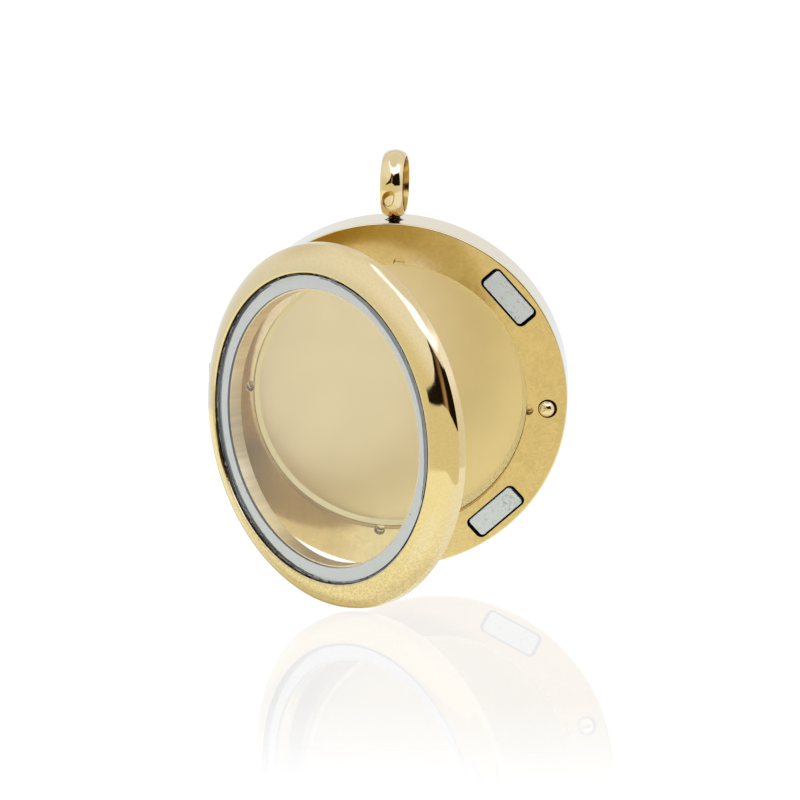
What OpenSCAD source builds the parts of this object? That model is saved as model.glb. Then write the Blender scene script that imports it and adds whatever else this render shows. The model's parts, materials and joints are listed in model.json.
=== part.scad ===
// Round photo locket: a deep back case with a soldered bail, and a hinged lid with a glass window.
// The case stands upright. Its rim faces -Y, the hinge is on its left side (-X) and the bail is on top (+Z).
// The origin is the top of the bail's hole, where the chain carries the locket.

/* [Case] */
// Outside diameter of the case and the lid
case_d = 30; // [29:0.1:31]
// Depth of the back case behind the parting plane
case_depth = 5.6; // [5.2:0.1:7]
// Radius of the rounding between the side wall and the back
back_round = 1.1; // [0.6:0.1:1.4]
// Thickness of the case's floor
floor_t = 1.1; // [0.8:0.1:1.6]
// Diameter of the mouth that the back plate sits in
mouth_d = 23.24; // [23:0.02:23.4]
// Diameter of the hollow behind the back plate
hollow_d = 21.2; // [18:0.1:22]
// Bevel on the outer edges that meet when the lid is shut
edge_bevel = 0.12; // [0.05:0.01:0.2]
// Gap between the case and the lid when the lid is shut
parting_gap = 0.1; // [0.06:0.01:0.16]

/* [Back plate] */
// Thickness of the back plate
plate_t = 0.6; // [0.4:0.05:0.8]
// How far the back plate's flat face lies below the rim
plate_drop = 1.3; // [1:0.05:1.6]
// Diameter of the back plate's flat face
plate_flat_d = 22.36; // [22:0.02:22.6]
// How much higher the back plate's turned-up edge stands than its flat face
plate_rise = 0.35; // [0.2:0.01:0.5]
// Radius of the four half-round notches in the edge of the mouth
notch_r = 0.43; // [0.3:0.01:0.5]
// How far the notches are turned about the case's centre, clockwise
notch_turn = 1; // [0:0.5:3]

/* [Magnets and locating ball] */
// Length of a magnet along the rim
magnet_l = 4.7; // [4:0.1:5]
// Width of a magnet across the rim
magnet_w = 1.8; // [1.6:0.05:1.9]
// Thickness of a magnet
magnet_t = 1.6; // [1:0.1:2]
// Angle of the magnets above and below the middle
magnet_angle = 44.5; // [40:0.5:50]
// Diameter of the locating ball
ball_d = 1.5; // [1.4:0.02:1.54]
// How far the locating ball stands out of the rim
ball_stand = 0.45; // [0.3:0.01:0.5]

/* [Bail] */
// Diameter of the bail's hole
bail_hole_d = 4.58; // [4:0.02:4.8]
// Outside diameter of the bail at its crown
bail_d = 5.7; // [5.6:0.05:6]
// Width of the bail along its hole
bail_w = 1.85; // [1.6:0.05:2.2]
// Height of the bail's centre above the case's centre
bail_lift = 18.05; // [17.95:0.01:18.1]
// Depth of the bail's middle behind the parting plane
bail_y = 1.9; // [1.5:0.1:2.5]
// How far round the case the bail stands from the top
bail_shift = 1.9; // [0:0.1:3]
// How far the bail is turned about its own foot
bail_turn = 2.2; // [0:0.1:4]

/* [Lid] */
// How far the lid is open, 0 is shut
lid_open = 40.5; // [0:0.5:120]
// Radius of the crisp edge between the lid's side band and its slope
brow_r = 14.84; // [14.7:0.01:14.9]
// Height of that edge above the parting plane
brow_h = 0.68; // [0.64:0.01:0.8]
// Radius of the lid's crest round the window
crest_r = 12.82; // [12.8:0.01:12.9]
// Height of the crest above the parting plane
crest_h = 1.99; // [1.95:0.01:2.1]
// How far the slope bulges out of its straight line
slope_bulge = 0.21; // [0.15:0.01:0.25]
// Diameter of the lid's opening
window_d = 22.54; // [22.3:0.02:22.7]

/* [Window] */
// Diameter of the glass
glass_d = 24.96; // [24.8:0.02:25.1]
// Thickness of the glass
glass_t = 0.34; // [0.3:0.01:0.36]
// Diameter of the pocket for the glass
glass_pocket_d = 25.32; // [25.2:0.02:25.4]
// Height of the ledge that carries the glass ring
ledge_h = 1.28; // [1.2:0.01:1.3]
// Thickness of the ring between the ledge and the glass
ring_t = 0.12; // [0.1:0.01:0.14]
// Inside diameter of that ring
ring_hole_d = 22.74; // [22.6:0.02:22.9]

/* [Hinge] */
// Distance of the hinge pin from the case's centre
hinge_x = 15.05; // [15.02:0.01:15.1]
// Diameter of the hinge knuckles
knuckle_d = 0.9; // [0.86:0.02:1]
// Diameter of the hinge pin
pin_d = 0.4; // [0.36:0.01:0.42]
// Length of the lid's knuckle
lid_knuckle_l = 1.6; // [1.2:0.1:1.8]
// Length of each of the case's two knuckles
case_knuckle_l = 1.1; // [0.8:0.1:1.2]

/* [Hidden] */
$fn = 96;

gold = [0.86, 0.72, 0.42];
pale_gold = [0.85, 0.77, 0.58];
silver = [0.78, 0.80, 0.80];

fit = 0.02;                  // gap between pieces that are set into each other
cut = 0.5;                   // how far a cutting shape runs past the face that it cuts
case_r = case_d / 2;
mouth_r = mouth_d / 2;
rim_y = parting_gap / 2;     // the rim's face, behind the parting plane
rear_h = parting_gap / 2;    // the lid's rear face, in front of the parting plane
plate_y = rim_y + plate_drop;
seat_y = plate_y + plate_t + fit;
plate_r = mouth_r - 0.05;
plate_land = 0.04;           // flat top of the plate's turned-up edge
mouth_bevel = 0.04;
notch_at = mouth_r + 0.12;   // centre of a notch, from the case's centre
notch_h = plate_drop - plate_rise;

magnet_at = 13.35;           // centre of a magnet, from the case's centre
magnet_sink = 0.04;
magnet_corner = 0.3;
pocket_corner = 0.5;
pocket_side = 0.1;           // gap along a magnet's long sides
pocket_end = 0.26;           // gap at a magnet's short ends

ball_at = 13.3;              // centre of the locating ball, from the case's centre
ball_r = ball_d / 2;
ball_y = rim_y + ball_r - ball_stand;
ball_hole_r = ball_r + 0.04;
socket_r = ball_r + 0.16;
socket_h = ball_stand + 0.2;

bail_hole_r = bail_hole_d / 2;
bail_r = bail_d / 2;
bail_edge_r = bail_r - 0.35; // the bail's outer radius at its two sides
bail_bevel = 0.06;
solder_r = 0.6;
solder_foot_r = 0.85;
solder_foot_h = 0.12;

window_bevel = 0.04;
lip_r = glass_pocket_d / 2;
glass_r = glass_d / 2;
ring_y = ledge_h + fit;
glass_y = ring_y + ring_t + fit;

knuckle_r = knuckle_d / 2;
pin_r = pin_d / 2;
pin_play = 0.04;             // running clearance of the pin in the lid's knuckle
knuckle_gap = 0.06;          // end gap between neighbouring knuckles
knuckle_play = 0.08;         // clearance of a knuckle in its notch
leaf_in = 14.45;             // how far in the leaves of the knuckles reach
lid_k = lid_knuckle_l / 2;
case_k0 = lid_k + knuckle_gap;
case_k1 = case_k0 + case_knuckle_l;

// Moves the whole locket so that the top of the bail's hole is the origin
hang_y = bail_y;
hang_r = bail_lift + bail_hole_r;
module hung() {
  translate([hang_r * sin(bail_shift), -hang_y, -hang_r * cos(bail_shift)]) children();
}

// Swings the shut lid open about the hinge pin
module swung() {
  translate([-hinge_x, 0, 0]) rotate([0, 0, -lid_open]) translate([hinge_x, 0, 0]) children();
}

// A turned shape: the section's second coordinate runs back from the parting plane
module turned_back() {
  rotate([-90, 0, 0]) rotate_extrude() children();
}

// A turned shape: the section's second coordinate runs forward from the parting plane
module turned_front() {
  rotate([90, 0, 0]) rotate_extrude() children();
}

// Places a shape on the rim at a distance and an angle, counted up from the right side
module on_rim(distance, angle) {
  rotate([0, -angle, 0]) translate([distance, 0, 0]) children();
}

// A flat block with rounded corners, from depth y0 to y1
module rounded_block(w, l, corner, y0, y1) {
  translate([0, y0, 0]) rotate([-90, 0, 0]) linear_extrude(y1 - y0) {
    square([w - 2 * corner, l], center = true);
    square([w, l - 2 * corner], center = true);
    for (x = [-1, 1], y = [-1, 1])
      translate([x * (w / 2 - corner), y * (l / 2 - corner)]) circle(corner);
  }
}

// Everything within a radius of the hinge axis, between two heights
module around_hinge(radius, z0, z1) {
  translate([-hinge_x, 0, z0]) cylinder(r = radius, h = z1 - z0);
}

// A knuckle with the leaf that joins it to its rim: side is 1 on the case and -1 on the lid
module knuckle(side, z0, z1) {
  leaf = knuckle_r - rim_y;
  around_hinge(knuckle_r, z0, z1);
  translate([-hinge_x, side > 0 ? rim_y : -knuckle_r, z0]) cube([hinge_x - leaf_in, leaf, z1 - z0]);
}

module case_section() {
  wall_end = case_depth - back_round;
  union() {
    polygon([[0, rim_y], [case_r - edge_bevel, rim_y], [case_r, rim_y + edge_bevel],
             [case_r, wall_end], [case_r - back_round, wall_end],
             [case_r - back_round, case_depth], [0, case_depth]]);
    translate([case_r - back_round, wall_end]) circle(back_round);
  }
}

module mouth_section() {
  polygon([[0, rim_y - cut], [mouth_r + mouth_bevel + cut, rim_y - cut], [mouth_r, rim_y + mouth_bevel],
           [mouth_r, seat_y], [hollow_d / 2, seat_y], [hollow_d / 2, case_depth - floor_t],
           [0, case_depth - floor_t]]);
}

module magnet_pocket() {
  rounded_block(magnet_w + 2 * pocket_side, magnet_l + 2 * pocket_end, pocket_corner,
                rim_y - cut, rim_y + magnet_sink + magnet_t + fit);
}

module bail_section() {
  rise = bail_r - bail_edge_r;
  crown_r = (bail_w * bail_w / 4 + rise * rise) / (2 * rise);
  intersection() {
    translate([bail_r - crown_r, 0]) circle(crown_r);
    polygon([[bail_hole_r, bail_bevel - bail_w / 2], [bail_hole_r + bail_bevel, -bail_w / 2],
             [bail_r + cut, -bail_w / 2], [bail_r + cut, bail_w / 2],
             [bail_hole_r + bail_bevel, bail_w / 2], [bail_hole_r, bail_w / 2 - bail_bevel]]);
  }
}

// The bail and the solder that joins it to the side wall
module bail() {
  translate([0, bail_y, bail_lift]) rotate([0, 0, -bail_turn]) rotate([0, 90, 0])
    rotate_extrude() bail_section();
  translate([0, bail_y, case_r - cut]) cylinder(r = solder_r, h = bail_lift - bail_r - case_r + cut + 0.2);
  translate([0, bail_y, case_r - cut])
    cylinder(r1 = solder_foot_r + cut, r2 = solder_r, h = cut + solder_foot_h);
}

module back_case() {
  color(gold) hung() difference() {
    union() {
      difference() {
        turned_back() case_section();
        around_hinge(knuckle_r + knuckle_play, -case_k0, case_k0);
      }
      rotate([0, -bail_shift, 0]) bail();
      for (z = [case_k0, -case_k1]) knuckle(1, z, z + case_knuckle_l);
    }
    turned_back() mouth_section();
    for (a = [magnet_angle, -magnet_angle])
      on_rim(magnet_at, a) magnet_pocket();
    on_rim(ball_at, 0) translate([0, rim_y - cut, 0]) rotate([-90, 0, 0])
      cylinder(r = ball_hole_r, h = cut + ball_y + ball_r + fit - rim_y);
    for (a = [0, 90, 180, 270])
      on_rim(notch_at, a - notch_turn) translate([0, rim_y - cut, 0]) rotate([-90, 0, 0])
        cylinder(r = notch_r, h = cut + notch_h);
    around_hinge(pin_r + fit, -case_k1 - cut, case_k1 + cut);
  }
}

module back_plate() {
  color(pale_gold) hung() turned_back()
    polygon([[0, plate_y], [plate_flat_d / 2, plate_y], [plate_r - plate_land, plate_y - plate_rise],
             [plate_r, plate_y - plate_rise], [plate_r, plate_y + plate_t], [0, plate_y + plate_t]]);
}

module locating_ball() {
  color(gold) hung() on_rim(ball_at, 0) translate([0, ball_y, 0]) sphere(ball_r);
}

module magnet(angle) {
  color(silver) hung() on_rim(magnet_at, angle)
    rounded_block(magnet_w, magnet_l, magnet_corner, rim_y + magnet_sink, rim_y + magnet_sink + magnet_t);
}

module hinge_pin() {
  color(gold) hung() around_hinge(pin_r, -case_k1, case_k1);
}

// The slope is one arc through the brow and the crest
module bezel_section() {
  run = [crest_r - brow_r, crest_h - brow_h];
  chord = norm(run);
  out = [run[1], -run[0]] / chord;
  middle = [crest_r + brow_r, crest_h + brow_h] / 2;
  arc_r = (chord * chord / 4 + slope_bulge * slope_bulge) / (2 * slope_bulge);
  crest_drop = 0.14;
  intersection() {
    translate(middle - out * (arc_r - slope_bulge)) circle(arc_r, $fn = 192);
    polygon([[window_d / 2, rear_h + window_bevel], [window_d / 2 + window_bevel, rear_h],
             [case_r - edge_bevel, rear_h], [case_r, rear_h + edge_bevel], [brow_r, brow_h],
             middle + out * 3 * slope_bulge, [crest_r, crest_h], [lip_r, crest_h - crest_drop],
             [lip_r, ledge_h], [window_d / 2, ledge_h]]);
  }
}

module lid_bezel() {
  color(gold) hung() swung() difference() {
    union() {
      difference() {
        turned_front() bezel_section();
        for (z = [lid_k, -case_k1 - knuckle_gap])
          around_hinge(knuckle_r + knuckle_play, z, z + case_knuckle_l + 2 * knuckle_gap);
      }
      knuckle(-1, -lid_k, lid_k);
    }
    on_rim(ball_at, 0) translate([0, -rear_h - socket_h, 0]) rotate([-90, 0, 0])
      cylinder(r = socket_r, h = socket_h + cut);
    around_hinge(pin_r + pin_play, -case_k1 - cut, case_k1 + cut);
  }
}

module glass_ring() {
  color(silver) hung() swung() turned_front() translate([ring_hole_d / 2, ring_y])
    square([glass_r - ring_hole_d / 2, ring_t]);
}

module window_glass() {
  color([0.9, 0.95, 0.95, 0.35]) hung() swung() turned_front() translate([0, glass_y])
    square([glass_r, glass_t]);
}

back_case();
back_plate();
locating_ball();
magnet(magnet_angle);  // magnet_upper
magnet(-magnet_angle);  // magnet_lower
hinge_pin();
lid_bezel();
glass_ring();
window_glass();
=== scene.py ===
"""Looks of the round photo locket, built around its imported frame."""

import json
import math

import bmesh
import bpy
from bpy.props import FloatProperty, FloatVectorProperty, PointerProperty
from mathutils import Matrix, Vector, noise

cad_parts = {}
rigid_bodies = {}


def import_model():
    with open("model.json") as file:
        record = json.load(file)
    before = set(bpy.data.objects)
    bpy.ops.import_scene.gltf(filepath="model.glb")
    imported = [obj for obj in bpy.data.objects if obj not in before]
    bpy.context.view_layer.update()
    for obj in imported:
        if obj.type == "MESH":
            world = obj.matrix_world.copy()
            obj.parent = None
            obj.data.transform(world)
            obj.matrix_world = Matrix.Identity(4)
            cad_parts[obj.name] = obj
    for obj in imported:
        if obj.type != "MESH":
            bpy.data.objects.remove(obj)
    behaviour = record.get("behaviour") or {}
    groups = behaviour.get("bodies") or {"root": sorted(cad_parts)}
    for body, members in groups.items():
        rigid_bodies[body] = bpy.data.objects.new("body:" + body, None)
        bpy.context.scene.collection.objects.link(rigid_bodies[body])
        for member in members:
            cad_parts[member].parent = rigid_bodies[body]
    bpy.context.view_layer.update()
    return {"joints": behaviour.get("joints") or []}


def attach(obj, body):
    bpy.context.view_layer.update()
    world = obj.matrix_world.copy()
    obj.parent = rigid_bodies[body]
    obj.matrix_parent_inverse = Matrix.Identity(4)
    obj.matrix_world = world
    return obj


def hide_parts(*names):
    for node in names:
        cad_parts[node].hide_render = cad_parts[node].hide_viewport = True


bl_info = {
    "name": "Photo locket",
    "version": (1, 0, 0),
    "blender": (4, 5, 0),
    "location": "View3D > Sidebar > Locket",
    "description": "Builds the polished pieces of a round photo locket around its frame",
    "category": "Object",
}

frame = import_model()
HINGE = next(joint for joint in frame["joints"] if joint["name"] == "lid_hinge")

MM = 0.001
TURN = 2 * math.pi
STEPS = 288                      # straight pieces in a turned circle

# Fixed places and sizes, in millimetres. Distances go from the axis of the case or the lid.
HINGE_REACH = 15.05              # to the hinge pin
LEAF_END = 14.45                 # to the inner end of a knuckle's leaf
MAGNET_REACH = 13.35             # to the middle of a magnet
BALL_REACH = 13.3                # to the middle of the ball
SEAL_REACH = 12.66               # to the wall round the glass
RIM = 0.05                       # the case's and the lid's meeting faces, from the parting plane
MAGNET_THICK = 1.6
MAGNET_ANGLES = {"upper": 44.5, "lower": -44.5}          # up from the right side, in degrees
BALL_STAND = 0.45                # how far the ball stands out of the rim
PLATE_THICK = 0.6
LEDGE = 1.28                     # the lid's ledge, from the parting plane
RING_LEVELS = (1.30, 1.42)       # the silver ring's rear and face, from the parting plane
GLASS_REAR = 1.44                # the glass's rear, from the parting plane
LID_KNUCKLE = 0.8                # half the length of the lid's knuckle
CASE_KNUCKLE = (0.86, 1.96)      # where a case knuckle starts and ends
KNUCKLE_RADIUS = 0.45
KNUCKLE_ROOM = 0.08              # the gap round a knuckle
PIN_RADIUS = 0.2
BORE_END = 2.5                   # half the length of the tool that cuts the pin's hole
BAIL_MIDDLE = (0, 1.9, 18.05)    # the hanging ring's middle, before it leans
BAIL_LEAN, BAIL_TURN = -1.9, -2.2                        # in degrees


# Shader maths

class Num:
    """A number that varies over a surface. Arithmetic on it adds Math nodes."""

    def __init__(self, finish, socket):
        self.finish, self.socket = finish, socket

    def _math(self, operation, *values):
        node = self.finish.add("Math", {"operation": operation}, dict(enumerate(values)))
        return Num(self.finish, node.outputs[0])

    def __add__(self, other):
        return self._math("ADD", self, other)

    def __radd__(self, other):
        return self._math("ADD", other, self)

    def __sub__(self, other):
        return self._math("SUBTRACT", self, other)

    def __rsub__(self, other):
        return self._math("SUBTRACT", other, self)

    def __mul__(self, other):
        return self._math("MULTIPLY", self, other)

    def __pow__(self, other):
        return self._math("POWER", self, other)

    def ramp(self, low, high):
        """0 below low, 1 above high, and smooth between."""
        node = self.finish.add("MapRange", {"interpolation_type": "SMOOTHSTEP"},
                               {"Value": self, "From Min": low, "From Max": high})
        return Num(self.finish, node.outputs["Result"])

    def band(self, low, high, soft):
        """1 between low and high, with soft sides."""
        return self.ramp(low - soft, low + soft) * (1 - self.ramp(high - soft, high + soft))

    def path(self, *points):
        """The height at this place of a line through points, each (place, height)."""
        height = points[0][1]
        for (start, low), (end, high) in zip(points, points[1:]):
            node = self.finish.add("MapRange", {"interpolation_type": "LINEAR"},
                                   {"Value": self, "From Min": start, "From Max": end,
                                    "To Min": 0.0, "To Max": high - low})
            height = height + Num(self.finish, node.outputs["Result"])
        return height

    def bearing(self, other):
        """The angle in degrees of a point that lies this far across and that far ahead."""
        return self._math("ARCTAN2", self, other) * (180 / math.pi)

    def rise(self):
        """The height in degrees of a direction with this upward part."""
        return self._math("ARCSINE", self) * (180 / math.pi)


class Finish:
    """A node tree that is being filled."""

    def __init__(self, tree):
        self.tree, self.own_places = tree, None
        tree.nodes.clear()

    def add(self, kind, settings=None, sockets=None):
        """A node of a kind: its settings are set first, then the values or links of its sockets."""
        node = self.tree.nodes.new("ShaderNode" + kind)
        for key, value in (settings or {}).items():
            setattr(node, key, value)
        for key, value in (sockets or {}).items():
            self.plug(node.inputs[key], value)
        return node

    def plug(self, socket, value):
        """Gives a socket its value, or the link that feeds it."""
        if isinstance(value, Num):
            value = value.socket
        if isinstance(value, bpy.types.NodeSocket):
            self.tree.links.new(value, socket)
        elif socket.type == "RGBA" and len(value) == 3:
            socket.default_value = (*value, 1)
        else:
            socket.default_value = value

    def vector(self, operation, first, second=None):
        """What a Vector Math node gives: a number from a product or a length, or else a vector."""
        values = {0: first}
        if second is not None:
            values["Scale" if operation == "SCALE" else 1] = second
        node = self.add("VectorMath", {"operation": operation}, values)
        return node.outputs["Value" if operation in ("DOT_PRODUCT", "LENGTH") else "Vector"]

    def places(self):
        """The surface's own coordinates, in millimetres."""
        if not self.own_places:
            self.own_places = self.vector("SCALE", self.add("TexCoord").outputs["Object"], 1 / MM)
        return self.own_places

    def apart(self, places=None):
        """The three parts of the surface's own places, or of other places or directions."""
        node = self.add("SeparateXYZ", None, {0: places or self.places()})
        return [Num(self, node.outputs[k]) for k in range(3)]

    def around_lid(self):
        """How far a point lies from the lid's axis, its direction from it, and that axis."""
        lid = row_place() @ lid_swing()
        axis = (lid.to_3x3() @ Vector((0, -1, 0))).normalized()
        off = self.vector("SUBTRACT", self.places(), lid.translation / MM)
        along = self.vector("SCALE", axis, self.vector("DOT_PRODUCT", off, axis))
        spoke = self.vector("SUBTRACT", off, along)
        return Num(self, self.vector("LENGTH", spoke)), self.vector("NORMALIZE", spoke), axis

    def streaks(self, along, across, detail=3.0):
        """Noise drawn out along the lid's turning: features per turn and per mm across it."""
        radius, heading, axis = self.around_lid()
        wide = self.vector("SCALE", axis, radius * across)
        places = self.vector("ADD", self.vector("SCALE", heading, along), wide)
        return self.noise(1.0, detail, places=places)

    def noise(self, scale, detail=2.0, distortion=0.0, rough=0.5, places=None):
        """Noise from 0 to 1 over the surface's own places, unless others are given."""
        node = self.add("TexNoise", None, {"Vector": places or self.places(), "Scale": scale,
                                           "Detail": detail, "Distortion": distortion,
                                           "Roughness": rough})
        return Num(self, node.outputs["Fac"])

    def mix(self, factor, first, second, blend="MIX"):
        node = self.add("Mix", {"data_type": "RGBA", "blend_type": blend},
                        {0: factor, 6: first, 7: second})
        return node.outputs[2]

    def grey(self, number):
        """A grey colour of that brightness."""
        return self.add("CombineColor", None, {0: number, 1: number, 2: number}).outputs[0]

    def bump(self, height, distance):
        """A normal that is tipped by a height of 0 to 1, where 1 stands for a distance in mm."""
        return self.add("Bump", None, {"Height": height, "Distance": distance * MM,
                                       "Strength": 1.0}).outputs[0]

    def surface(self, colour, matt, metallic=1.0, **sockets):
        """The main shader, with its colour, roughness and other sockets, joined to the output."""
        values = {"Base Color": colour, "Roughness": matt, "Metallic": metallic}
        values.update({key.replace("_", " "): value for key, value in sockets.items()})
        shader = self.add("BsdfPrincipled", None, values)
        self.add("OutputMaterial", None, {"Surface": shader.outputs[0]})

    def plain(self, scale, detail, dark, light, metallic, matt, spread):
        """A surface whose colour and roughness vary with one noise between two ends."""
        grain = self.noise(scale, detail)
        self.surface(self.mix(grain, dark, light), matt + grain * spread, metallic)


def material(fill):
    """Turns a function that fills a node tree into one that gives the material of its name."""
    def given():
        made = bpy.data.materials.get(fill.__name__)
        if not made:
            made = bpy.data.materials.new(fill.__name__)
            made.use_nodes = True
            fill(Finish(made.node_tree))
        return made
    return given


def shades():
    return bpy.context.scene.locket_colours


def toned(colour, amount):
    """A colour made darker or lighter by an amount, none of its parts above 1."""
    return [min(part * amount, 1) for part in colour]


def polished_gold(f, colour, haze, peel=0.0):
    """Polished plating: soft waves, faint smudges and, low down, a fine orange peel."""
    cloud = f.noise(0.22, 2.0)
    smudge = f.noise(0.7, 4.0, 1.2, 0.6).ramp(0.46, 0.7)
    grain = f.noise(9.0, 2.0)
    tint = f.mix((cloud - 0.5) * 0.5 + 0.35, toned(colour, 0.96), toned(colour, 1.04))
    wave = f.noise(0.5, 1.0) + grain * 0.012
    if peel:
        low = 1 - f.apart()[2].ramp(-33.0, -22.0)
        skin = f.noise(5.5, 2.0, 0.6)
        wave = wave + skin * (low * peel + 0.08)
        tint = f.mix((low * 0.8 + 0.2) * skin.ramp(0.4, 0.6), tint, toned(colour, 0.78))
    f.surface(tint, haze + smudge * 0.03 + grain * 0.015, Normal=f.bump(wave, 0.004))


@material
def case_gold(f):
    """The case's polished plating."""
    polished_gold(f, shades().case_gold, 0.05)


@material
def lid_gold(f):
    """The lid's polished plating, with its orange peel."""
    polished_gold(f, shades().lid_gold, 0.035, 2.2)


@material
def rear_gold(f):
    """The lid's hidden rear: dull plating, darkened as painted shade, lighter higher up and browner at
    its top as painted shade.
    """
    cloud = f.noise(0.5, 3.0)
    brown = f.mix(cloud, (0.50, 0.32, 0.06), (0.60, 0.41, 0.10))
    base_tint = f.mix(cloud, (0.46, 0.35, 0.15), (0.58, 0.45, 0.20))
    across, _, height = f.apart()
    base_tint = f.mix(height.ramp(-17.0, -12.0), base_tint, (0.68, 0.53, 0.24))
    # Painted shade: the top of the rear turns brown, as if in its own shadow.
    top_shade = height.ramp(-11.4, -9.8) * (1 - across.ramp(-5.0, 0.0) * 0.8)
    f.surface(f.mix(top_shade, base_tint, brown), 0.28 + cloud * 0.1)


@material
def wall_gold(f):
    """The wall of the lid's opening: satin with fine marks, a darker band of painted shade, a pale band
    of painted highlight below it, and brown toward its foot.
    """
    mark = f.streaks(30.0, 0.2, 2.0)
    grain = f.noise(9.0, 2.0)
    height = f.apart()[2]
    colour = shades().lid_gold
    tint = f.mix(mark.ramp(0.35, 0.7), toned(colour, 0.78), toned(colour, 0.92))
    # Painted shade: a darker band partway down the wall.
    tint = f.mix(height.band(-25.0, -19.0, 1.0) * 0.8, tint, (0.80, 0.74, 0.70), "MULTIPLY")
    # Painted highlight: a pale band lower down.
    tint = f.mix(height.band(-30.5, -25.5, 0.8) * (mark * 0.6 + 0.25), tint, (0.97, 0.87, 0.62))
    tint = f.mix((1 - height.ramp(-33.0, -31.0)) * 0.6, tint, (0.66, 0.48, 0.20))
    f.surface(tint, 0.26 + grain * 0.08)


@material
def rim_gold(f):
    """The case's lapped rim: duller than the rest, with cloudy smudges, and painted shade where it
    mirrors the lid: browner near the top, darker near the bottom and bluish grey low on the hinge side.
    """
    cloud = f.noise(0.35, 3.0, 0.8)
    smudge = f.noise(1.3, 4.0, 1.5, 0.6)
    grain = f.noise(7.0, 3.0, 0.4, 0.6)
    fleck = f.noise(4.5, 2.0, 0.5).ramp(0.70, 0.76)
    colour = shades().case_gold
    mottle = (smudge * 0.5 + grain * 0.3 + cloud * 0.2).ramp(0.36, 0.64)
    base_tint = f.mix(mottle, toned(colour, 0.89), toned(colour, 1.06))
    tint = f.mix(fleck * 0.45, base_tint, toned(colour, 0.6))
    across, _, height = f.apart()
    # Painted reflection of the lid's shaded rear: browner near the top.
    brown = height.ramp(-9.8, -8.4) * (1 - across.ramp(0.5, 4.0))
    tint = f.mix(brown * (0.8 + smudge * 0.4), tint, (0.84, 0.75, 0.50), "MULTIPLY")
    # Painted shade in the reflection: darker near the bottom, on the hinge side.
    foot = (1 - height.ramp(-30.0, -27.0)) * (1 - across.ramp(-4.0, 0.0))
    tint = f.mix(foot, tint, (0.86, 0.76, 0.60), "MULTIPLY")
    # Painted shade: bluish grey low on the hinge side.
    shade = (1 - height.ramp(-26.0, -23.0)) * (1 - across.ramp(-11.5, -7.5))
    tint = f.mix(shade, tint, (0.66, 0.72, 0.90), "MULTIPLY")
    tint = f.mix(across.ramp(5.0, 9.0), tint, (1.0, 0.97, 0.87), "MULTIPLY")
    f.surface(tint, 0.09 + smudge * 0.07 + grain * 0.03,
              Normal=f.bump(smudge * 0.6 + grain * 0.3, 0.004))


@material
def edge_gold(f):
    """The plate's turned-up edge: left as cut, with a satin haze."""
    f.plain(3.0, 1.0, (0.98, 0.79, 0.35), (1.0, 0.83, 0.39),
            metallic=0.45, matt=0.55, spread=0.04)


@material
def notch_brown(f):
    """Dark brown on the walls of the notches and of the ball's hole: painted shade in these hollows, on
    dull plating.
    """
    f.plain(8.0, 2.0, (0.34, 0.25, 0.11), (0.46, 0.35, 0.17),
            metallic=1.0, matt=0.40, spread=0.1)


@material
def bore_amber(f):
    """The hanging ring's hole: plating in a darker amber that is painted shade inside the hole."""
    f.plain(1.2, 2.0, (0.42, 0.23, 0.04), (0.66, 0.42, 0.11),
            metallic=1.0, matt=0.14, spread=0.1)


@material
def satin_gold(f):
    """The back plate's satin plating, with a fine grain."""
    cloud = f.noise(0.3, 2.0)
    grain = f.noise(16.0, 3.0, 0.0, 0.7)
    colour = shades().satin_gold
    tint = f.mix(cloud * 0.5 + grain * 0.5, toned(colour, 0.91), toned(colour, 1.12))
    f.surface(tint, 0.32 + grain * 0.06, Normal=f.bump(grain, 0.0008))


@material
def pocket_dark(f):
    """The magnets' pockets: nearly black, as painted shade in the gaps round the magnets."""
    grain = f.noise(8.0, 2.0)
    f.surface(f.grey(0.004 + grain * 0.008), 0.6 + grain * 0.2, 0.0, Specular_IOR_Level=0.1)


@material
def solder_dark(f):
    """Solder at the hanging ring's foot: nearly black as painted shade, with a few bright gold flecks.
    """
    fleck = f.noise(2.6, 3.0, 0.8).ramp(0.56, 0.64)
    grain = f.noise(12.0, 2.0)
    f.surface(f.mix(fleck, (0.012, 0.009, 0.006), shades().case_gold),
              0.32 - fleck * 0.2 + grain * 0.1, Normal=f.bump(grain, 0.01))


@material
def magnet_nickel(f):
    """The magnets' dull nickel, with stains, small pits and a spotted corner on the lower one."""
    cloud = f.noise(0.8, 3.0)
    spots = f.noise(2.4, 3.0, 0.9, 0.6).ramp(0.58, 0.66)
    pits = f.noise(5.0, 2.0, 0.3).ramp(0.65, 0.70)
    grain = f.noise(14.0, 2.0)
    colour = shades().magnet
    base_tint = f.mix((cloud + grain) * 0.5, toned(colour, 0.94), toned(colour, 1.05))
    stained = f.mix(spots * 0.5, base_tint, [c * v for c, v in zip(colour, (0.62, 0.58, 0.46))])
    across, _, height = f.apart()
    corner = 1 - ((across - 11.2) ** 2 + (height + 28.7) ** 2).ramp(0.1, 0.9)
    blot = f.noise(3.2, 3.0, 0.6, 0.6).ramp(0.53, 0.62) * corner
    stained = f.mix(blot * 0.45, stained, (0.32, 0.28, 0.20))
    tint = f.mix(pits * 0.55, stained, toned(colour, 0.3))
    f.surface(tint, 0.36 + spots * 0.15 + grain * 0.06, 0.6,
              Normal=f.bump(grain - spots * 0.8 - pits, 0.002))


@material
def ring_silver(f):
    """The matt silver ring under the glass, with a few specks."""
    grain = f.noise(12.0, 3.0, 0.0, 0.65)
    cloud = f.noise(0.6, 2.0)
    specks = f.noise(2.2, 2.0, 0.4).ramp(0.74, 0.78)
    colour = shades().ring_silver
    base_tint = f.mix(cloud * 0.4 + grain * 0.6, toned(colour, 0.9), toned(colour, 1.07))
    f.surface(f.mix(specks * 0.6, base_tint, toned(colour, 0.3)), 0.5 + grain * 0.15, 0.2,
              Normal=f.bump(grain, 0.0015))


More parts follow.
